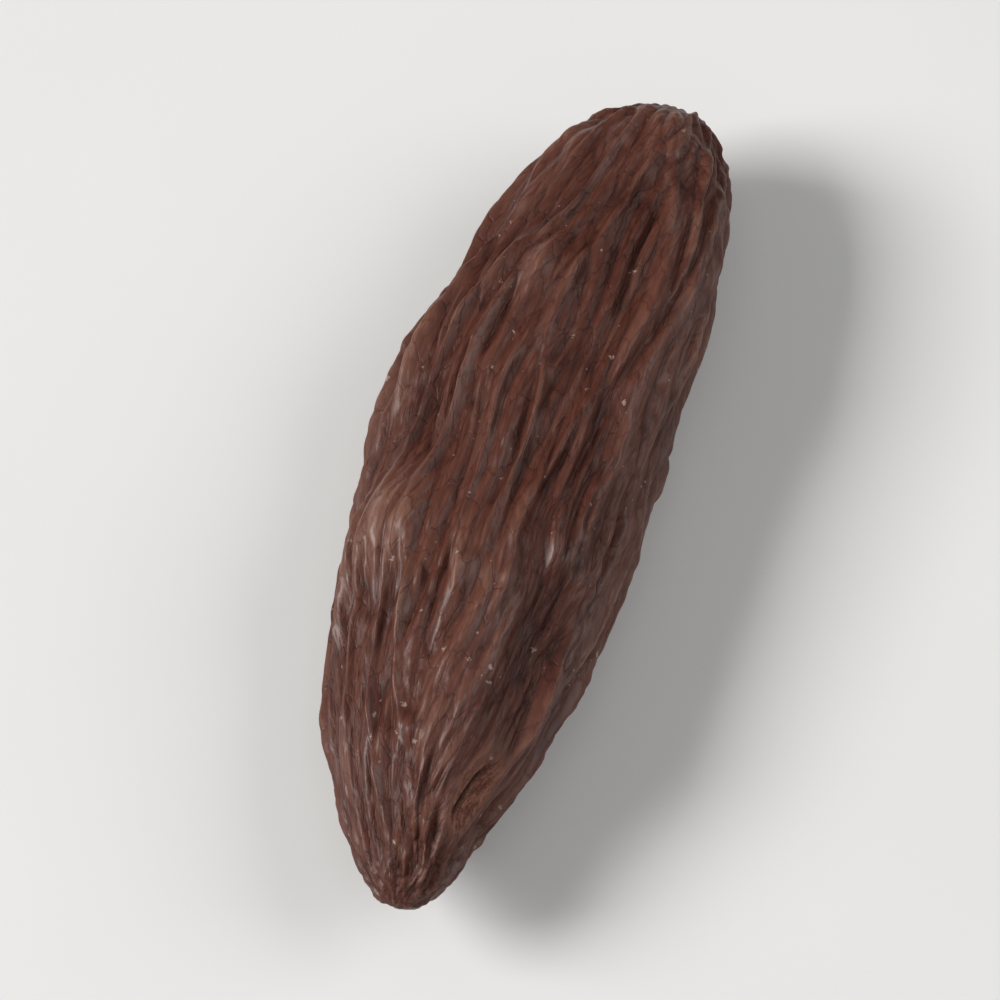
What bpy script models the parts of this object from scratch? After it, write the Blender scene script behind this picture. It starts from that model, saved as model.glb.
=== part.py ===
"""A tonka bean: one dried, wrinkled seed lying on its broad side.

The seed is one solid. Its section is egg shaped, blunt on the seam side at -Y and drawn to a keel along
the back at +Y. The -X end narrows to a snout with a notch and a small scar on the seam side, and the +X end
is round. A net of lengthwise wrinkles is raised on it by a formula, and the underside is pressed flat over
a small spot, on which the seed rests. Units are metres and +Z is up. The origin lies on that resting plane,
under the middle of the seed's box.

A place on the seed is given by four arrays: t, the share along it from -1 to 1; side and up, the cosine
and sine of the angle round its length, counted from the keel; and girth, its fatness there from 0 to 1.
"""

import bmesh
import bpy
import numpy as np

# Overall size of the seed before its wrinkles
LENGTH = 0.0340
WIDTH = 0.0106
THICKNESS = 0.0079

# Girth along the seed: one power makes it fuller, the other makes its ends rounder
FULLNESS = 2.35
FULLNESS_GAIN = 0.25
ROUNDING = 0.49
ROUNDING_GAIN = -0.05
WIDER_END = 0.07
THICKER_END = 0.03
END_PINCH = 0.05

# Form of the body
EGG = 0.13
BOW = 0.0014
LIFT = 0.00045
TWIST_DEGREES = 5.0
ROLL_DEGREES = 6.0

# Notch of the snout, and a shallow sunken stretch on the upper broad side
NOTCH_DEPTH = 0.00105
NOTCH_AT = -0.80
NOTCH_REACH = 0.17
NOTCH_FOCUS = 1.5
HOLLOW_DEPTH = 0.00045
HOLLOW_AT = 0.0030
HOLLOW_LONG = 0.0070
HOLLOW_WIDE = 0.0023

# Wrinkles: number of the random draw, distance apart, length of run and count of waves, with their heights
LUMPS = (14, 0.0080, 0.0110, 30)
LUMP_HEIGHT = 0.00014
LUMPS_FADE_IN = (-0.9, -0.4)
RIDGES = (11, 0.0028, 0.0290, 90)
RIDGE_HEIGHT = 0.00037
RIDGE_SHARE = 0.60
RIDGE_MEAN = 0.54
PLEATS = (12, 0.0014, 0.0160, 90)
PLEAT_HEIGHT = 0.00014
PLEAT_MEAN = 0.70
FURROW_SOFTNESS = 0.14
SWAY_ACROSS = (5, 0.0090, 0.0150, 24)
SWAY_UP = (6, 0.0090, 0.0150, 24)
SWAY = 0.00021
SPACING_SPREAD = 0.25

# Powers of the girth by which the wrinkles draw together at the ends, and by which their height falls off
LUMP_GATHER = 0.7
RIDGE_GATHER = 0.5
HEIGHT_TAPER = 0.8

# Seam groove along the blunt side, and the shares of the length over which it fades in and out
SEAM_DEPTH = 0.00020
SEAM_WIDTH = 0.00050
SEAM_WANDER = 0.06
SEAM_SWAYS = 5.0
SEAM_FADE_IN = (-0.66, -0.50)
SEAM_FADE_OUT = (0.55, 0.85)

# Oval scar beside the snout, with its dish, rim and calm surroundings in shares of its own half size
SCAR_AT = -0.73
SCAR_ANGLE = 2.60
SCAR_LONG = 0.00150
SCAR_WIDE = 0.00090
SCAR_DEPTH = 0.00030
SCAR_DISH = (0.45, 1.15)
RIM_HEIGHT = 0.00017
RIM_AT = 1.2
RIM_REACH = 0.35
CALM_ROUND_SCAR = (0.9, 1.9)
SCAR_CALM = 0.8
SEAM_CALM = 0.3

# Resting spot: thickness pressed off the underside, and height over which the wrinkles fade in round it
SEAT_DEPTH = 0.00013
SEAT_CALM = 0.00055

# Grid: faces across each of the four sides, and along them
AROUND = 34
ALONG = 27
MIDDLE_ROWS = 0.65
END_ROWS = 0.34


def clear_scene():
    """Remove whatever objects the file opened with."""
    for thing in list(bpy.data.objects):
        bpy.data.objects.remove(thing, do_unlink=True)


def bell(value, middle, reach):
    """A smooth hump of height 1 at middle, which has all but gone at twice its reach."""
    return np.exp(-((value - middle) / reach) ** 2)


def ramp(value, low, high):
    """A smooth step from 0 at low to 1 at high."""
    share = np.clip((value - low) / (high - low), 0.0, 1.0)
    return share * share * (3.0 - 2.0 * share)


def ripples(points, number, gap, run, waves):
    """Uneven stripes along X that swing by about 1: a sum of seeded plane waves about one gap apart."""
    draw = np.random.default_rng(number)
    spacing = gap * np.exp(draw.normal(0.0, SPACING_SPREAD, waves))
    heading = draw.uniform(0.0, 2.0 * np.pi, waves)
    pitch = 2.0 * np.pi * np.stack([
        draw.normal(0.0, 1.0 / run, waves),
        np.cos(heading) / spacing,
        np.sin(heading) / spacing,
    ])
    phase = draw.uniform(0.0, 2.0 * np.pi, waves)
    return np.sqrt(2.0 / waves) * np.cos(points @ pitch + phase).sum(axis=1)


def gridded_cube(around, along):
    """A cube two units wide, its ends gridded around by around and its sides along by around."""
    grid = bmesh.new()
    bmesh.ops.create_cube(grid, size=2.0)
    lengthwise = [edge for edge in grid.edges if abs(edge.verts[0].co.x - edge.verts[1].co.x) > 1.0]
    bmesh.ops.subdivide_edges(grid, edges=lengthwise, cuts=along - 1, use_grid_fill=True)
    crosswise = [edge for edge in grid.edges if abs(edge.verts[0].co.x - edge.verts[1].co.x) < 1e-5]
    bmesh.ops.subdivide_edges(grid, edges=crosswise, cuts=around - 1, use_grid_fill=True)
    return grid


def seed_places(cube_points):
    """Turn points of the cube into places on the seed.

    Each point is eased along X so that the rows lie evenly, spread by a tangent and thrown out on to a
    ball. Its share along the seed is drawn out from the ball's, so that less of the grid lies in the ends.
    """
    ball = cube_points.copy()
    ball[:, 0] *= MIDDLE_ROWS + (1.0 - MIDDLE_ROWS) * ball[:, 0] ** 2
    ball = np.tan(ball * np.pi / 4.0)
    ball /= np.linalg.norm(ball, axis=1, keepdims=True)
    ring = np.sqrt(np.maximum(1.0 - ball[:, 0] ** 2, 1e-12))
    t = np.clip(ball[:, 0] * (1.0 + END_ROWS * (1.0 - ball[:, 0] ** 2)), -1.0, 1.0)
    girth = (1.0 - np.abs(t) ** (FULLNESS + FULLNESS_GAIN * t)) ** (ROUNDING + ROUNDING_GAIN * t)
    return t, ball[:, 1] / ring, ball[:, 2] / ring, girth


def smooth_body(t, side, up, girth):
    """Points of the seed without wrinkles.

    An egg section is scaled by the girth. The snout's notch is pressed in on the seam side and the hollow
    on top, the middle is bowed towards the keel, the ends are lifted, and each section is turned in place.
    """
    x = 0.5 * LENGTH * t
    y = 0.5 * WIDTH * girth * (1.0 + WIDER_END * t - END_PINCH * t * t) * side
    z = 0.5 * THICKNESS * girth * (1.0 + THICKER_END * t - END_PINCH * t * t) * up * (1.0 - EGG * side)
    y = y + NOTCH_DEPTH * girth * np.clip(-side, 0.0, 1.0) ** NOTCH_FOCUS * bell(t, NOTCH_AT, NOTCH_REACH)
    sunk = np.clip(up, 0.0, 1.0) ** 2 * bell(x, HOLLOW_AT, HOLLOW_LONG) * bell(y, 0.0, HOLLOW_WIDE)
    z = z - HOLLOW_DEPTH * sunk + LIFT * t * t
    y = y + BOW * (1.0 - t * t)
    turn = np.radians(TWIST_DEGREES * np.sin(0.5 * np.pi * t) - ROLL_DEGREES)
    return np.stack([
        x,
        y * np.cos(turn) - z * np.sin(turn),
        y * np.sin(turn) + z * np.cos(turn),
    ], axis=1)


def wrinkle_space(t, side, up, girth, gather):
    """Points in which the stripes are drawn, swayed sideways a little.

    Their radius follows the girth to the power gather, so that the wrinkles draw together at the ends.
    """
    radius = 0.5 * WIDTH * girth ** gather
    space = np.stack([0.5 * LENGTH * t, radius * side, radius * up], axis=1)
    space[:, 1] += SWAY * ripples(space, *SWAY_ACROSS)
    space[:, 2] += SWAY * ripples(space, *SWAY_UP)
    return space


def wrinkles(t, side, up, girth):
    """Height of the wrinkles: low lumps, a net of rounded ridges, and pleats parted by sharp furrows.

    A ridge of the net runs wherever its stripes pass through zero, and a furrow wherever the pleats' do.
    """
    loose = wrinkle_space(t, side, up, girth, LUMP_GATHER)
    gathered = wrinkle_space(t, side, up, girth, RIDGE_GATHER)
    lumps = LUMP_HEIGHT * ripples(loose, *LUMPS) * ramp(up, *LUMPS_FADE_IN)
    net = RIDGE_HEIGHT * (bell(ripples(gathered, *RIDGES), 0.0, RIDGE_SHARE) - RIDGE_MEAN)
    folds = PLEAT_HEIGHT * (np.hypot(ripples(gathered, *PLEATS), FURROW_SOFTNESS) - PLEAT_MEAN)
    return girth ** HEIGHT_TAPER * (lumps + net + folds)


def seam_and_scar(t, side, up, girth):
    """Height of the seam groove and of the scar with its rim, and the share of the wrinkles left there."""
    angle = np.arctan2(up, side)
    radius = 0.5 * WIDTH * girth
    off_seam = radius * (np.abs(angle) - np.pi + SEAM_WANDER * np.sin(SEAM_SWAYS * t))
    seam = bell(off_seam, 0.0, SEAM_WIDTH) * ramp(t, *SEAM_FADE_IN) * (1.0 - ramp(t, *SEAM_FADE_OUT))
    off_scar = np.hypot(
        0.5 * LENGTH * (t - SCAR_AT) / SCAR_LONG,
        radius * (angle - SCAR_ANGLE) / SCAR_WIDE,
    )
    scar = RIM_HEIGHT * bell(off_scar, RIM_AT, RIM_REACH) - SCAR_DEPTH * (1.0 - ramp(off_scar, *SCAR_DISH))
    left = 1.0 - SCAR_CALM * (1.0 - ramp(off_scar, *CALM_ROUND_SCAR)) - SEAM_CALM * seam
    return scar - SEAM_DEPTH * seam, left


def shape_seed(grid):
    """Move the cube's points on to the wrinkled seed, and press its underside flat."""
    place = seed_places(np.array([vert.co[:] for vert in grid.verts]))
    smooth = smooth_body(*place)
    for vert, point in zip(grid.verts, smooth):
        vert.co = point
    grid.normal_update()
    outward = np.array([vert.normal[:] for vert in grid.verts])
    marks, left = seam_and_scar(*place)
    lowest = smooth[:, 2].min()
    fade = ramp(smooth[:, 2], lowest + 0.5 * SEAT_DEPTH, lowest + SEAT_CALM)
    height = fade * (marks + left * wrinkles(*place))
    points = smooth + outward * height[:, None]
    points[:, 2] = np.maximum(points[:, 2], lowest + SEAT_DEPTH)
    points[:, :2] -= 0.5 * (points[:, :2].min(axis=0) + points[:, :2].max(axis=0))
    points[:, 2] -= points[:, 2].min()
    for vert, point in zip(grid.verts, points):
        vert.co = point


def seed_coat():
    """Dark reddish brown coat with a greasy shine."""
    coat = bpy.data.materials.new("seed_coat")
    coat.use_nodes = True
    shader = coat.node_tree.nodes["Principled BSDF"]
    shader.inputs["Base Color"].default_value = (0.076, 0.030, 0.021, 1.0)
    shader.inputs["Roughness"].default_value = 0.42
    shader.inputs["Metallic"].default_value = 0.0
    return coat


def make_seed():
    """The seed as one closed, smooth shaded mesh."""
    grid = gridded_cube(AROUND, ALONG)
    shape_seed(grid)
    mesh = bpy.data.meshes.new("tonka_bean")
    grid.to_mesh(mesh)
    grid.free()
    mesh.shade_smooth()
    mesh.materials.append(seed_coat())
    seed = bpy.data.objects.new("tonka_bean", mesh)
    bpy.context.scene.collection.objects.link(seed)
    return seed


clear_scene()
make_seed()
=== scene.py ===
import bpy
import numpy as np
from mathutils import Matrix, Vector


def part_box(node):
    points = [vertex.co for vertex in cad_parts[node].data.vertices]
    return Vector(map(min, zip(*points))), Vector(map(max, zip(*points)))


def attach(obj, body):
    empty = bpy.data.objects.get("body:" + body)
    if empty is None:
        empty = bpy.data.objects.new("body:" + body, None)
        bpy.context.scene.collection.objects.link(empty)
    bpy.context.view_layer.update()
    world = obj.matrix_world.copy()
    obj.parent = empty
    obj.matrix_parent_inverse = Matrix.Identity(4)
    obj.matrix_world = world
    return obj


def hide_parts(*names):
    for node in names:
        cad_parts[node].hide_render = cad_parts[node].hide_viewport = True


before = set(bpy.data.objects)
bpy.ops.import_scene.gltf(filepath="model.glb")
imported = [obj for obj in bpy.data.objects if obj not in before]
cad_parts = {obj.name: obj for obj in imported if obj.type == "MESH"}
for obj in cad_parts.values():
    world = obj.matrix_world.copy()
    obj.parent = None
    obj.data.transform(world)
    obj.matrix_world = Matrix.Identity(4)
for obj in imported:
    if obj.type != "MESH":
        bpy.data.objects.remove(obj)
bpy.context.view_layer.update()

# A tonka bean: one dried, wrinkled seed lying on its broad side, on a pale floor.
#
# The seed's section is egg shaped, blunt on the seam side at -Y and drawn to a keel along the back at +Y.
# The -X end narrows to a snout with a notch and a small scar, and the +X end is round. The same formulas as
# the solid's raise its net of wrinkles here on a far finer grid, with the small creases that only show
# close up. Units are metres and +Z is up.
#
# A place on the seed is given by four arrays: t, the share along it from -1 to 1; side and up, the cosine
# and sine of the angle round its length, counted from the keel; and girth, its fatness there from 0 to 1.

# Overall size of the seed before its wrinkles
LENGTH = 0.0340
WIDTH = 0.0106
THICKNESS = 0.0079

# Girth along the seed: one power makes it fuller, the other makes its ends rounder
FULLNESS = 2.35
FULLNESS_GAIN = 0.25
ROUNDING = 0.49
ROUNDING_GAIN = -0.05
WIDER_END = 0.07
THICKER_END = 0.03
END_PINCH = 0.05

# Form of the body
EGG = 0.13
BOW = 0.0014
LIFT = 0.00045
TWIST_DEGREES = 5.0
ROLL_DEGREES = 6.0

# Notch of the snout, and a shallow sunken stretch on the upper broad side
NOTCH_DEPTH = 0.00105
NOTCH_AT = -0.80
NOTCH_REACH = 0.17
NOTCH_FOCUS = 1.5
HOLLOW_DEPTH = 0.00045
HOLLOW_AT = 0.0030
HOLLOW_LONG = 0.0070
HOLLOW_WIDE = 0.0023

# Wrinkles: number of the random draw, distance apart, length of run and count of waves, with their heights
LUMPS = (14, 0.0080, 0.0110, 30)
LUMP_HEIGHT = 0.00014
LUMPS_FADE_IN = (-0.9, -0.4)
RIDGES = (11, 0.0028, 0.0290, 90)
RIDGE_HEIGHT = 0.00037
RIDGE_SHARE = 0.60
RIDGE_MEAN = 0.54
PLEATS = (12, 0.0014, 0.0160, 90)
PLEAT_HEIGHT = 0.00014
PLEAT_MEAN = 0.70
FURROW_SOFTNESS = 0.14
SWAY_ACROSS = (5, 0.0090, 0.0150, 24)
SWAY_UP = (6, 0.0090, 0.0150, 24)
SWAY = 0.00021
SPACING_SPREAD = 0.25

# Powers of the girth by which the wrinkles draw together at the ends, and by which their height falls off
LUMP_GATHER = 0.7
RIDGE_GATHER = 0.5
HEIGHT_TAPER = 0.8

# Small creases of the coat, which only this finer surface has, with their own powers of the girth
CREASES = (13, 0.00065, 0.0031, 90)
CREASE_HEIGHT = 0.000048
CREASE_GATHER = 0.85
CREASE_TAPER = 0.6

# Seam groove along the blunt side, and the shares of the length over which it fades in and out
SEAM_DEPTH = 0.00020
SEAM_WIDTH = 0.00050
SEAM_WANDER = 0.06
SEAM_SWAYS = 5.0
SEAM_FADE_IN = (-0.66, -0.50)
SEAM_FADE_OUT = (0.55, 0.85)

# Oval scar beside the snout, with its dish, rim and calm surroundings in shares of its own half size
SCAR_AT = -0.73
SCAR_ANGLE = 2.60
SCAR_LONG = 0.00150
SCAR_WIDE = 0.00090
SCAR_DEPTH = 0.00030
SCAR_DISH = (0.45, 1.15)
RIM_HEIGHT = 0.00017
RIM_AT = 1.2
RIM_REACH = 0.35
CALM_ROUND_SCAR = (0.9, 1.9)
SCAR_CALM = 0.8
SEAM_CALM = 0.3

# Slit along the middle of the scar, and the shares of the scar's length over which it ends
SLIT_DEPTH = 0.00014
SLIT_WIDTH = 0.00014
SLIT_ENDS = (0.45, 0.95)

# Resting spot: thickness pressed off the underside, and height over which the wrinkles fade in round it
SEAT_DEPTH = 0.00013
SEAT_CALM = 0.00055

# Grid: faces across each of the four sides, and along them
AROUND = 120
ALONG = 140
MIDDLE_ROWS = 0.65
END_ROWS = 0.34

# Where the coat's colours lie: crests, made paler as painted highlight, and furrows, made darker as painted
# shade, by their waves, and cork by the scar's own half size
CREST_FADE_IN = (0.1, 1.1)
FURROW_REACH = 0.22
CREASE_SHARE = 0.6
CORK_EDGE = (0.80, 1.25)
COAT_GATHER = 0.6
MILLIMETRES = 1000.0

# Colours of the coat from the deepest furrow to the highest crest: the dark end is painted shade in the
# furrows and the pale end painted highlight on the crests, with the coat's own streaks and clouds along the
# same ramp
COAT_TONES_AND_SHADING = (
    (0.00, (0.0240, 0.0060, 0.0038)),
    (0.22, (0.0470, 0.0124, 0.0076)),
    (0.45, (0.0740, 0.0210, 0.0130)),
    (0.68, (0.1040, 0.0335, 0.0210)),
    (0.88, (0.1370, 0.0525, 0.0345)),
    (1.00, (0.1820, 0.0840, 0.0580)),
)

# What is painted over those tones: its share at most and its colour
LINE_PAINT = (0.32, (0.188, 0.086, 0.060))
BLOOM_PAINT = (0.22, (0.112, 0.066, 0.055))
SEAM_PAINT = (0.30, (0.030, 0.014, 0.011))
RIM_PAINT = (0.35, (0.190, 0.092, 0.066))
# The slit's near black is painted shade down its narrow groove
SLIT_PAINTED_SHADE = (0.85, (0.012, 0.006, 0.004))
SPECK_PAINT = (0.65, (0.380, 0.300, 0.260))
CORK_SHARE = 0.80
CORK_DARK = (0.160, 0.058, 0.039)
CORK_PALE = (0.430, 0.200, 0.140)

# Streaks of the coat: gap across and run along in millimetres, and the noise at which they start and are full
STREAKS = {
    "broad": (1.5, 9.0, 0.35, 0.65),
    "fine": (0.42, 2.7, 0.35, 0.65),
    "thread": (0.13, 0.7, 0.35, 0.65),
    "line": (0.36, 5.5, 0.54, 0.70),
}

# Hairlines with gap and run in millimetres, and two kinds of specks with their gaps in metres
HAIRLINES = {"Gap": 0.58, "Run": 1.7, "Width": 0.07}
FROST = {"Gap": 0.0010, "Width": 0.14, "Share": 0.80}
DUST = {"Gap": 0.00040, "Width": 0.15, "Share": 0.20}
DUST_SHARE = 0.7

# Specks and hairlines, in their own cells: how far torn or swayed, and by a noise of what scale and detail
SPECK_TEAR = (0.32, 0.32, 0.32)
SPECK_NOISE = (9.0, 2.0)
HAIRLINE_SWAY = (0.9, 0.9, 0.9)
HAIRLINE_NOISE = (1.3, 2.0)

# The full middle of a speck, as a share of its width, and the smallest speck, as a share of the largest
SPECK_MIDDLE = 0.6
SPECK_SMALLEST = 0.45

# Where the bloom lies, by the clouds and by the fine streaks, and how the scar's crumbs are made up
BLOOM_CLOUDS = (0.50, 0.72)
BLOOM_STREAKS = (0.2, 0.9)
CRUMB_GAINS = {"thread": 0.35}
CRUMBS = (0.35, 1.05)

# Noises of the streaks, and of the clouds and the grit in the seed's own space: scale, detail and roughness
STREAK_NOISE = (1.0, 3.0, 0.55)
CLOUD_NOISE = (210.0, 4.0, 0.6)
GRIT_NOISE = (9000.0, 3.0, 0.65)

# What every mark adds to the coat's tone, to its dullness and to the height of its skin; on the tone, relief,
# crest and furrow give painted highlight on the raised wrinkles and painted shade in the low ones
TONE = 0.33
TONE_AND_SHADING_GAINS = {
    "relief": 0.145, "crest": 0.12, "furrow": -0.28, "broad": 0.09, "fine": 0.18, "thread": 0.09,
    "cloud": 0.14, "hair": -0.18, "flake": 0.06,
}
DULLNESS = 0.40
DULLNESS_GAINS = {"bloom": 0.16, "grit": 0.10, "scar": 0.28, "speck": 0.20, "furrow": 0.10}
SKIN_GAINS = {"thread": 0.5, "fine": 0.6, "grit": 0.5, "hair": -0.6, "scar_crumb": 2.0}
SKIN_HEIGHT = 0.000021

# Greasy layer on the coat: its weight between and on the broad streaks, and the relief over which it comes in
GREASE = (0.38, 0.18)
GREASE_RELIEF = (-0.42, 0.33)
GREASE_IN_FURROWS = 0.15
GREASE_ROUGHNESS = 0.30

# Gloss of the coat under the grease
GLOSS = 0.22

# Floor
FLOOR_REACH = 2.0
FLOOR_ROUGHNESS = 0.85
FLOOR_NOISE = (60.0, 3.0)
FLOOR_DARK = (0.780, 0.780, 0.775)
FLOOR_PALE = (0.820, 0.820, 0.815)

# Camera, in degrees and metres
CAMERA_AZIMUTH = -72.0
CAMERA_ELEVATION = 68.0
CAMERA_DISTANCE = 0.65
CAMERA_TARGET = (0.0, 0.0, 0.0038)
CAMERA_LENS = 620.0
CAMERA_SENSOR = 36.0
CAMERA_CLIP = (0.01, 20.0)

# Lights: degrees round from the camera, degrees up, distance, size, power and colour
SOFTBOXES = {
    "key_light": (-90.0, 39.0, 1.0, 0.42, 9.9, (1.0, 0.99, 0.97)),
    "fill_light": (95.0, 42.0, 1.1, 0.70, 4.0, (1.0, 0.995, 0.99)),
    "top_light": (0.0, 80.0, 1.2, 0.60, 1.0, (1.0, 1.0, 1.0)),
}
SURROUNDINGS = 0.15


# Numbers and waves

def bell(value, middle, reach):
    """A smooth hump of height 1 at middle: e to the power of minus the squared distance in reaches."""
    return np.exp(-((value - middle) / reach) ** 2)


def ramp(value, low, high):
    """A smooth step from 0 at low to 1 at high: 3 s squared less 2 s cubed of the share s between them."""
    share = np.clip((value - low) / (high - low), 0.0, 1.0)
    return share * share * (3.0 - 2.0 * share)


def ripples(points, number, gap, run, waves):
    """Uneven stripes along X that swing by about 1: a sum of seeded plane waves about one gap apart."""
    draw = np.random.default_rng(number)
    spacing = gap * np.exp(draw.normal(0.0, SPACING_SPREAD, waves))
    heading = draw.uniform(0.0, 2.0 * np.pi, waves)
    pitch = 2.0 * np.pi * np.stack([
        draw.normal(0.0, 1.0 / run, waves),
        np.cos(heading) / spacing,
        np.sin(heading) / spacing,
    ])
    phase = draw.uniform(0.0, 2.0 * np.pi, waves)
    return np.sqrt(2.0 / waves) * np.cos(points @ pitch + phase).sum(axis=1)


# Grid of the seed

def cube_side(axis, end, steps):
    """Corner numbers of one side of the cube, as a grid whose two directions turn outwards.

    The side across axis lies at step 0 or at the last step, as end says. A corner's number is worked out
    from its three steps, so two sides that share an edge number its corners alike.
    """
    first, second = (axis + 1) % 3, (axis + 2) % 3
    if end == 0:
        first, second = second, first
    step = np.zeros((steps[first] + 1, steps[second] + 1, 3), dtype=np.int64)
    step[..., axis] = end * steps[axis]
    step[..., first] = np.arange(steps[first] + 1)[:, None]
    step[..., second] = np.arange(steps[second] + 1)[None, :]
    return (step[..., 0] * (steps[1] + 1) + step[..., 1]) * (steps[2] + 1) + step[..., 2]


def gridded_cube(around, along):
    """Corners and outward faces of a cube from -1 to 1.

    Its ends are gridded around by around, and its sides along by around.
    """
    steps = (along, around, around)
    sides = [cube_side(axis, end, steps) for axis in range(3) for end in (0, 1)]
    faces = np.concatenate([
        np.stack([side[:-1, :-1], side[1:, :-1], side[1:, 1:], side[:-1, 1:]], axis=-1).reshape(-1, 4)
        for side in sides
    ])
    numbers, faces = np.unique(faces, return_inverse=True)
    step = np.stack([
        numbers // (around + 1) ** 2,
        numbers // (around + 1) % (around + 1),
        numbers % (around + 1),
    ], axis=1)
    return 2.0 * step / np.array(steps) - 1.0, faces.reshape(-1, 4)


def seed_places(cube_points):
    """Turn points of the cube into places on the seed.

    Each point is eased along X so that the rows lie evenly, spread by a tangent and thrown out on to a
    ball. Its share along the seed is drawn out from the ball's, so that less of the grid lies in the ends.
    """
    ball = cube_points.copy()
    ball[:, 0] *= MIDDLE_ROWS + (1.0 - MIDDLE_ROWS) * ball[:, 0] ** 2
    ball = np.tan(ball * np.pi / 4.0)
    ball /= np.linalg.norm(ball, axis=1, keepdims=True)
    ring = np.sqrt(np.maximum(1.0 - ball[:, 0] ** 2, 1e-12))
    t = np.clip(ball[:, 0] * (1.0 + END_ROWS * (1.0 - ball[:, 0] ** 2)), -1.0, 1.0)
    girth = (1.0 - np.abs(t) ** (FULLNESS + FULLNESS_GAIN * t)) ** (ROUNDING + ROUNDING_GAIN * t)
    return t, ball[:, 1] / ring, ball[:, 2] / ring, girth


def outward_normals(points, faces):
    """Unit normals at the corners: the cross products of the faces' diagonals, summed and made one long."""
    corner = points[faces]
    across = np.cross(corner[:, 2] - corner[:, 0], corner[:, 3] - corner[:, 1])
    total = np.zeros_like(points)
    for column in faces.T:
        np.add.at(total, column, across)
    return total / np.linalg.norm(total, axis=1, keepdims=True)


# Form of the seed

def smooth_body(t, side, up, girth):
    """Points of the seed without wrinkles.

    An egg section is scaled by the girth. The snout's notch is pressed in on the seam side and the hollow
    on top, the middle is bowed towards the keel, the ends are lifted, and each section is turned in place.
    """
    x = 0.5 * LENGTH * t
    y = 0.5 * WIDTH * girth * (1.0 + WIDER_END * t - END_PINCH * t * t) * side
    z = 0.5 * THICKNESS * girth * (1.0 + THICKER_END * t - END_PINCH * t * t) * up * (1.0 - EGG * side)
    y = y + NOTCH_DEPTH * girth * np.clip(-side, 0.0, 1.0) ** NOTCH_FOCUS * bell(t, NOTCH_AT, NOTCH_REACH)
    sunk = np.clip(up, 0.0, 1.0) ** 2 * bell(x, HOLLOW_AT, HOLLOW_LONG) * bell(y, 0.0, HOLLOW_WIDE)
    z = z - HOLLOW_DEPTH * sunk + LIFT * t * t
    y = y + BOW * (1.0 - t * t)
    turn = np.radians(TWIST_DEGREES * np.sin(0.5 * np.pi * t) - ROLL_DEGREES)
    return np.stack([
        x,
        y * np.cos(turn) - z * np.sin(turn),
        y * np.sin(turn) + z * np.cos(turn),
    ], axis=1)


def wrinkle_space(t, side, up, girth, gather):
    """Points in which the stripes are drawn, swayed sideways a little.

    Their radius follows the girth to the power gather, so that the wrinkles draw together at the ends.
    """
    radius = 0.5 * WIDTH * girth ** gather
    space = np.stack([0.5 * LENGTH * t, radius * side, radius * up], axis=1)
    space[:, 1] += SWAY * ripples(space, *SWAY_ACROSS)
    space[:, 2] += SWAY * ripples(space, *SWAY_UP)
    return space


def wrinkles(t, side, up, girth):
    """Height of the wrinkles, and where their crests and furrows run.

    The height sums low lumps, a net of rounded ridges, pleats parted by sharp furrows, and small creases.
    A ridge of the net runs wherever its stripes pass through zero, and a furrow wherever the pleats' do.
    """
    loose = wrinkle_space(t, side, up, girth, LUMP_GATHER)
    gathered = wrinkle_space(t, side, up, girth, RIDGE_GATHER)
    ridge = bell(ripples(gathered, *RIDGES), 0.0, RIDGE_SHARE)
    pleat = ripples(gathered, *PLEATS)
    crease = ripples(wrinkle_space(t, side, up, girth, CREASE_GATHER), *CREASES)
    lumps = LUMP_HEIGHT * ripples(loose, *LUMPS) * ramp(up, *LUMPS_FADE_IN)
    net = RIDGE_HEIGHT * (ridge - RIDGE_MEAN)
    folds = PLEAT_HEIGHT * (np.hypot(pleat, FURROW_SOFTNESS) - PLEAT_MEAN)
    small = CREASE_HEIGHT * (np.hypot(crease, FURROW_SOFTNESS) - PLEAT_MEAN)
    height = girth ** HEIGHT_TAPER * (lumps + net + folds) + girth ** CREASE_TAPER * small
    crest = ridge * ramp(np.abs(pleat), *CREST_FADE_IN)
    furrow = np.maximum(bell(pleat, 0.0, FURROW_REACH), CREASE_SHARE * bell(crease, 0.0, FURROW_REACH))
    return height, crest, furrow


def seam_and_scar(t, side, up, girth):
    """Height of the seam groove and of the slit scar with its rim, and where the seam and the scar lie.

    The seam follows the blunt side with a slow sway. The scar is a dish with a rim, measured by how many
    times its own half length and half width away a point is, and its slit is a narrow groove along it.
    """
    angle = np.arctan2(up, side)
    radius = 0.5 * WIDTH * girth
    off_seam = radius * (np.abs(angle) - np.pi + SEAM_WANDER * np.sin(SEAM_SWAYS * t))
    seam = bell(off_seam, 0.0, SEAM_WIDTH) * ramp(t, *SEAM_FADE_IN) * (1.0 - ramp(t, *SEAM_FADE_OUT))
    along = 0.5 * LENGTH * (t - SCAR_AT)
    across = radius * (angle - SCAR_ANGLE)
    off_scar = np.hypot(along / SCAR_LONG, across / SCAR_WIDE)
    scar = RIM_HEIGHT * bell(off_scar, RIM_AT, RIM_REACH) - SCAR_DEPTH * (1.0 - ramp(off_scar, *SCAR_DISH))
    slit = bell(across, 0.0, SLIT_WIDTH) * (1.0 - ramp(np.abs(along) / SCAR_LONG, *SLIT_ENDS))
    height = scar - SLIT_DEPTH * slit - SEAM_DEPTH * seam
    left = 1.0 - SCAR_CALM * (1.0 - ramp(off_scar, *CALM_ROUND_SCAR)) - SEAM_CALM * seam
    return height, left, seam, off_scar, slit


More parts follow.
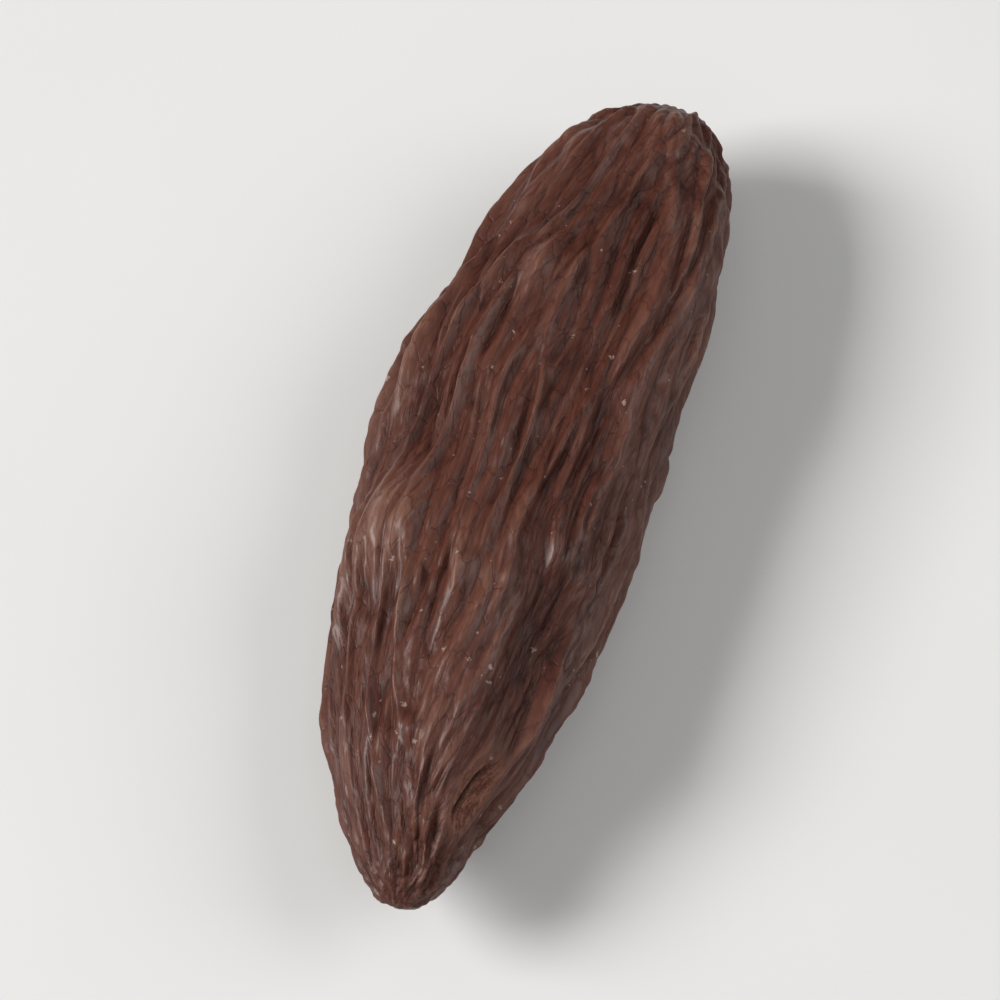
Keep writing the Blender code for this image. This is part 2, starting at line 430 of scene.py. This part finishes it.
def seed_surface():
    """Points and faces of the wrinkled seed, with what its coat needs to know at every point.

    The smooth body is moved out along its own normals by the height of the seam and scar, plus that of the
    wrinkles, which are calmer near those. Both fade out towards the floor, where the body is cut off flat.
    """
    corners, faces = gridded_cube(AROUND, ALONG)
    place = seed_places(corners)
    smooth = smooth_body(*place)
    outward = outward_normals(smooth, faces)
    marks, left, seam, off_scar, slit = seam_and_scar(*place)
    relief, crest, furrow = wrinkles(*place)
    lowest = smooth[:, 2].min()
    fade = ramp(smooth[:, 2], lowest + 0.5 * SEAT_DEPTH, lowest + SEAT_CALM)
    points = smooth + outward * (fade * (marks + left * relief))[:, None]
    points[:, 2] = np.maximum(points[:, 2], lowest + SEAT_DEPTH)
    facts = {
        "relief": relief / RIDGE_HEIGHT,
        # Crests and furrows, where the coat is painted with highlight and with shade; the furrows also make
        # it duller
        "crest": crest * left * fade,
        "furrow": furrow * left * fade,
        "seam": seam,
        "scar": 1.0 - ramp(off_scar, *CORK_EDGE),
        "scar_rim": bell(off_scar, RIM_AT, RIM_REACH),
        "slit": slit,
        "coat_place": MILLIMETRES * wrinkle_space(*place, COAT_GATHER),
    }
    return points, faces, facts


def on_the_node(points, node):
    """Move the points so that their box stands on the floor, centred over the node's own box."""
    low, high = (np.array(corner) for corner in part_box(node))
    points = points.copy()
    points[:, :2] += 0.5 * (low + high)[:2] - 0.5 * (points[:, :2].min(axis=0) + points[:, :2].max(axis=0))
    points[:, 2] += low[2] - points[:, 2].min()
    return points


def piece_from(name, points, faces, facts, material):
    """A smooth shaded piece from arrays, its facts kept as attributes of its points."""
    mesh = bpy.data.meshes.new(name)
    mesh.from_pydata(points, [], faces)
    for title, values in facts.items():
        kind, field = ("FLOAT", "value") if values.ndim == 1 else ("FLOAT_VECTOR", "vector")
        mesh.attributes.new(title, kind, "POINT").data.foreach_set(field, values.astype(np.float32).ravel())
    mesh.shade_smooth()
    mesh.materials.append(material)
    piece = bpy.data.objects.new(name, mesh)
    bpy.context.scene.collection.objects.link(piece)
    return piece


# Node helpers

def new_node(tree, kind, settings=None, values=None):
    """A node with its settings, and with plain values on the sockets named."""
    made = tree.nodes.new(kind)
    for name, value in (settings or {}).items():
        setattr(made, name, value)
    for name, value in (values or {}).items():
        made.inputs[name].default_value = value
    return made


def feed(tree, source, target):
    """Put a socket or a plain value into an input."""
    if isinstance(source, bpy.types.NodeSocket):
        tree.links.new(source, target)
    else:
        target.default_value = source


def calculate(tree, operation, *parts):
    """One arithmetic node on two or three sockets or numbers."""
    made = new_node(tree, "ShaderNodeMath", {"operation": operation})
    for part, target in zip(parts, made.inputs):
        feed(tree, part, target)
    return made.outputs[0]


def weigh(tree, start, marks, gains):
    """The start with every mark named in the gains added to it, each times its gain."""
    for name, gain in gains.items():
        start = calculate(tree, "MULTIPLY_ADD", marks[name], gain, start)
    return start


def reach(tree, value, low, high, to_low=0.0, to_high=1.0):
    """Carry low to high smoothly over to to_low to to_high, and hold it there outside them."""
    made = new_node(tree, "ShaderNodeMapRange", {"interpolation_type": "SMOOTHSTEP"})
    for part, name in (
        (value, "Value"), (low, "From Min"), (high, "From Max"), (to_low, "To Min"), (to_high, "To Max"),
    ):
        feed(tree, part, made.inputs[name])
    return made.outputs["Result"]


def mix(tree, share, under, over):
    """The colour under with a share of the colour over laid on it."""
    made = new_node(tree, "ShaderNodeMix", {"data_type": "RGBA"})
    for part, number in ((share, 0), (under, 6), (over, 7)):
        feed(tree, (*part, 1.0) if isinstance(part, tuple) else part, made.inputs[number])
    return made.outputs[2]


def paint(tree, under, mark, share, over):
    """Lay the colour over on the colour under wherever the mark is, at that share at most."""
    return mix(tree, calculate(tree, "MULTIPLY", mark, share), under, over)


def tone_ramp(tree, value, stops):
    """Colours laid along a value from 0 to 1."""
    made = new_node(tree, "ShaderNodeValToRGB")
    band = made.color_ramp
    while len(band.elements) < len(stops):
        band.elements.new(0.5)
    for element, (place, colour) in zip(band.elements, stops):
        element.position = place
        element.color = (*colour, 1.0)
    feed(tree, value, made.inputs["Fac"])
    return made.outputs["Color"]


def vector_sum(tree, operation, first, *others):
    """One vector node: the others are sockets or plain vectors."""
    made = new_node(tree, "ShaderNodeVectorMath", {"operation": operation})
    for part, target in zip((first, *others), made.inputs):
        feed(tree, part, target)
    return made.outputs[0]


def noise(tree, place, scale, detail, roughness=0.5, output="Fac"):
    """Smooth noise read at a place."""
    values = {"Scale": scale, "Detail": detail, "Roughness": roughness}
    made = new_node(tree, "ShaderNodeTexNoise", None, values)
    feed(tree, place, made.inputs["Vector"])
    return made.outputs[output]


def measured(tree, place, gap, run):
    """A place counted in runs along the seed and in gaps across it."""
    step = new_node(tree, "ShaderNodeCombineXYZ")
    for part, target in zip((run, gap, gap), step.inputs):
        feed(tree, part, target)
    return vector_sum(tree, "DIVIDE", place, step.outputs[0])


def cells(tree, place, feature):
    """The outputs of a cell pattern one wide."""
    made = new_node(tree, "ShaderNodeTexVoronoi", {"feature": feature}, {"Scale": 1.0})
    feed(tree, place, made.inputs["Vector"])
    return made.outputs


def chances(tree, colour):
    """Two chances from 0 to 1 that a cell's random colour gives it."""
    made = new_node(tree, "ShaderNodeSeparateColor")
    feed(tree, colour, made.inputs[0])
    return made.outputs["Red"], made.outputs["Green"]


def fact(tree, name, output="Fac"):
    """What the piece's points say about themselves under that name."""
    return new_node(tree, "ShaderNodeAttribute", {"attribute_name": name}).outputs[output]


def new_group(name, inputs, outputs):
    """An empty node group with a Place, named numbers and named outputs, and its two ends."""
    group = bpy.data.node_groups.new(name, "ShaderNodeTree")
    group.interface.new_socket(name="Place", in_out="INPUT", socket_type="NodeSocketVector")
    for socket, value in inputs.items():
        made = group.interface.new_socket(name=socket, in_out="INPUT", socket_type="NodeSocketFloat")
        made.default_value = value
    for socket in outputs:
        group.interface.new_socket(name=socket, in_out="OUTPUT", socket_type="NodeSocketFloat")
    start = group.nodes.new("NodeGroupInput")
    end = group.nodes.new("NodeGroupOutput")
    return group, start.outputs, end.inputs


def placed(tree, group, **values):
    """The outputs of a node group placed in a tree with its sockets filled."""
    made = new_node(tree, "ShaderNodeGroup", {"node_tree": group})
    for name, value in values.items():
        feed(tree, value, made.inputs[name])
    return made.outputs


# Effects of the coat, as node groups

def streak_group():
    """Streaks that follow the seed: noise that is read in runs along it and in gaps across it."""
    group, start, end = new_group(
        "lengthwise_streaks", {"Gap": 1.0, "Run": 8.0, "Low": 0.35, "High": 0.65}, ["Streak"],
    )
    place = measured(group, start["Place"], start["Gap"], start["Run"])
    waves = noise(group, place, *STREAK_NOISE)
    feed(group, reach(group, waves, start["Low"], start["High"]), end["Streak"])
    return group


def speck_group():
    """Ragged specks: some cells of a torn cell pattern each hold one, as wide as Width says in cells."""
    group, start, end = new_group(
        "pinhead_specks", {"Gap": 1.0, "Width": 0.1, "Share": 0.2}, ["Speck"],
    )
    place = measured(group, start["Place"], start["Gap"], start["Gap"])
    tear = noise(group, place, *SPECK_NOISE, output="Color")
    torn = vector_sum(group, "MULTIPLY_ADD", tear, SPECK_TEAR, place)
    pattern = cells(group, torn, "F1")
    chance, size = chances(group, pattern["Color"])
    width = calculate(group, "MULTIPLY", start["Width"], reach(group, size, 0.0, 1.0, SPECK_SMALLEST, 1.0))
    middle = calculate(group, "MULTIPLY", width, SPECK_MIDDLE)
    inside = reach(group, pattern["Distance"], width, middle)
    chosen = calculate(group, "LESS_THAN", chance, start["Share"])
    feed(group, calculate(group, "MULTIPLY", chosen, inside), end["Speck"])
    return group


def crackle_group():
    """Hairlines between the cells of a stretched and wavy cell pattern, and a chance for each flake."""
    group, start, end = new_group(
        "hairline_crackle", {"Gap": 0.5, "Run": 2.0, "Width": 0.06}, ["Line", "Flake"],
    )
    place = measured(group, start["Place"], start["Gap"], start["Run"])
    sway = noise(group, place, *HAIRLINE_NOISE, output="Color")
    wavy = vector_sum(group, "MULTIPLY_ADD", sway, HAIRLINE_SWAY, place)
    edge = cells(group, wavy, "DISTANCE_TO_EDGE")["Distance"]
    feed(group, reach(group, edge, start["Width"], 0.0), end["Line"])
    feed(group, chances(group, cells(group, wavy, "F1")["Color"])[0], end["Flake"])
    return group


# Materials

def coat_marks(tree):
    """Everything the coat is made up from, by name.

    Its facts come from the seed's points. Its streaks and hairlines follow the wrinkles, with their gaps
    and runs in millimetres, and its clouds, grit and specks lie in the object's own space, in metres.
    """
    streaks, specks, crackle = streak_group(), speck_group(), crackle_group()
    here = new_node(tree, "ShaderNodeTexCoord").outputs["Object"]
    coat_place = fact(tree, "coat_place", "Vector")
    marks = {
        name: fact(tree, name)
        for name in ("relief", "crest", "furrow", "seam", "scar", "scar_rim", "slit")
    }
    for name, (gap, run, low, high) in STREAKS.items():
        streak = placed(tree, streaks, Place=coat_place, Gap=gap, Run=run, Low=low, High=high)
        marks[name] = streak["Streak"]
    hairlines = placed(tree, crackle, Place=coat_place, **HAIRLINES)
    marks["hair"] = hairlines["Line"]
    marks["flake"] = hairlines["Flake"]
    marks["cloud"] = noise(tree, here, *CLOUD_NOISE)
    marks["grit"] = noise(tree, here, *GRIT_NOISE)
    clouds = reach(tree, marks["cloud"], *BLOOM_CLOUDS)
    marks["bloom"] = calculate(tree, "MULTIPLY", clouds, reach(tree, marks["fine"], *BLOOM_STREAKS))
    marks["crumb"] = reach(tree, weigh(tree, marks["grit"], marks, CRUMB_GAINS), *CRUMBS)
    marks["scar_crumb"] = calculate(tree, "MULTIPLY", marks["scar"], marks["crumb"])
    frost = placed(tree, specks, Place=here, **FROST)["Speck"]
    dust = placed(tree, specks, Place=here, **DUST)["Speck"]
    marks["speck"] = calculate(tree, "MAXIMUM", frost, calculate(tree, "MULTIPLY", dust, DUST_SHARE))
    return marks


def coat_colour(tree, marks):
    """Reddish brown by the streaks and clouds, paler on the crests as painted highlight and darker in the
    furrows as painted shade, with the bloom, seam, scar, the slit's painted shade and the specks on it.
    """
    colour = tone_ramp(tree, weigh(tree, TONE, marks, TONE_AND_SHADING_GAINS), COAT_TONES_AND_SHADING)
    colour = paint(tree, colour, marks["line"], *LINE_PAINT)
    colour = paint(tree, colour, marks["bloom"], *BLOOM_PAINT)
    colour = paint(tree, colour, marks["seam"], *SEAM_PAINT)
    colour = paint(tree, colour, marks["scar_rim"], *RIM_PAINT)
    cork = mix(tree, marks["crumb"], CORK_DARK, CORK_PALE)
    colour = paint(tree, colour, marks["scar"], CORK_SHARE, cork)
    # Painted shade down the scar's slit
    colour = paint(tree, colour, marks["slit"], *SLIT_PAINTED_SHADE)
    return paint(tree, colour, marks["speck"], *SPECK_PAINT)


def coat_roughness(tree, marks):
    """Satin all over, and duller in the furrows and on the bloom, the scar and the specks."""
    return weigh(tree, DULLNESS, marks, DULLNESS_GAINS)


def coat_grease(tree, marks):
    """A thin greasy layer on the raised wrinkles, uneven by the broad streaks and missing from the scar."""
    uneven = reach(tree, marks["broad"], 0.0, 1.0, *GREASE)
    raised = reach(tree, marks["relief"], *GREASE_RELIEF, GREASE_IN_FURROWS, 1.0)
    covered = calculate(tree, "SUBTRACT", 1.0, marks["scar"])
    return calculate(tree, "MULTIPLY", calculate(tree, "MULTIPLY", uneven, raised), covered)


def coat_skin(tree, marks):
    """Normals of the finest unevenness: streaks and grit raised, hairlines sunk, crumbs on the scar."""
    bump = new_node(tree, "ShaderNodeBump", None, {"Strength": 1.0, "Distance": SKIN_HEIGHT})
    feed(tree, weigh(tree, 0.0, marks, SKIN_GAINS), bump.inputs["Height"])
    return bump.outputs["Normal"]


def seed_coat():
    """The wrinkled coat of the seed, with a greasy shine."""
    material = bpy.data.materials.new("wrinkled_seed_coat")
    material.use_nodes = True
    tree = material.node_tree
    shader = tree.nodes["Principled BSDF"]
    marks = coat_marks(tree)
    feed(tree, coat_colour(tree, marks), shader.inputs["Base Color"])
    feed(tree, coat_roughness(tree, marks), shader.inputs["Roughness"])
    feed(tree, coat_grease(tree, marks), shader.inputs["Coat Weight"])
    feed(tree, coat_skin(tree, marks), shader.inputs["Normal"])
    shader.inputs["Coat Roughness"].default_value = GREASE_ROUGHNESS
    shader.inputs["Specular IOR Level"].default_value = GLOSS
    return material


def floor_paint():
    """Pale matt floor with a barely seen unevenness."""
    material = bpy.data.materials.new("pale_floor")
    material.use_nodes = True
    tree = material.node_tree
    shader = tree.nodes["Principled BSDF"]
    here = new_node(tree, "ShaderNodeTexCoord").outputs["Object"]
    unevenness = noise(tree, here, *FLOOR_NOISE)
    feed(tree, mix(tree, unevenness, FLOOR_DARK, FLOOR_PALE), shader.inputs["Base Color"])
    shader.inputs["Roughness"].default_value = FLOOR_ROUGHNESS
    return material


# Studio

def make_floor():
    """A wide pale floor at the height on which the seed rests."""
    corners = [(FLOOR_REACH * x, FLOOR_REACH * y, 0.0) for x, y in ((-1, -1), (1, -1), (1, 1), (-1, 1))]
    mesh = bpy.data.meshes.new("floor")
    mesh.from_pydata(corners, [], [(0, 1, 2, 3)])
    mesh.materials.append(floor_paint())
    floor = bpy.data.objects.new("floor", mesh)
    bpy.context.scene.collection.objects.link(floor)
    return floor


def direction(azimuth, elevation):
    """The unit vector from the seed towards a place at those degrees; azimuth 0 is at -Y and 90 at +X."""
    turn, rise = np.radians(azimuth), np.radians(elevation)
    return Vector((np.sin(turn) * np.cos(rise), -np.cos(turn) * np.cos(rise), np.sin(rise)))


def make_softbox(name, azimuth, elevation, distance, size, power, colour):
    """A square soft light that faces the seed."""
    light = bpy.data.lights.new(name, "AREA")
    light.size = size
    light.energy = power
    light.color = colour
    lamp = bpy.data.objects.new(name, light)
    towards = direction(azimuth, elevation)
    lamp.location = towards * distance
    lamp.rotation_euler = towards.to_track_quat("Z", "Y").to_euler()
    bpy.context.scene.collection.objects.link(lamp)


def make_surroundings(strength):
    """Even white light from all round."""
    world = bpy.data.worlds.new("surroundings")
    world.use_nodes = True
    background = world.node_tree.nodes["Background"]
    background.inputs["Color"].default_value = (1.0, 1.0, 1.0, 1.0)
    background.inputs["Strength"].default_value = strength
    bpy.context.scene.world = world


def make_camera(azimuth, elevation, distance, target, lens):
    """A long lens that looks down on the seed's broad side."""
    data = bpy.data.cameras.new("camera")
    data.lens = lens
    data.sensor_width = CAMERA_SENSOR
    data.clip_start, data.clip_end = CAMERA_CLIP
    camera = bpy.data.objects.new("camera", data)
    back = direction(azimuth, elevation)
    camera.location = Vector(target) + back * distance
    camera.rotation_euler = back.to_track_quat("Z", "Y").to_euler()
    bpy.context.scene.collection.objects.link(camera)
    bpy.context.scene.camera = camera


# Whole scene

points, faces, facts = seed_surface()
seed = piece_from("tonka_seed", on_the_node(points, "tonka_bean"), faces, facts, seed_coat())
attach(seed, "root")
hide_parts("tonka_bean")
make_floor()

for name, (round_from_camera, *rest) in SOFTBOXES.items():
    make_softbox(name, CAMERA_AZIMUTH + round_from_camera, *rest)
make_surroundings(SURROUNDINGS)
make_camera(CAMERA_AZIMUTH, CAMERA_ELEVATION, CAMERA_DISTANCE, CAMERA_TARGET, CAMERA_LENS)
bpy.context.scene.view_settings.view_transform = "Standard"
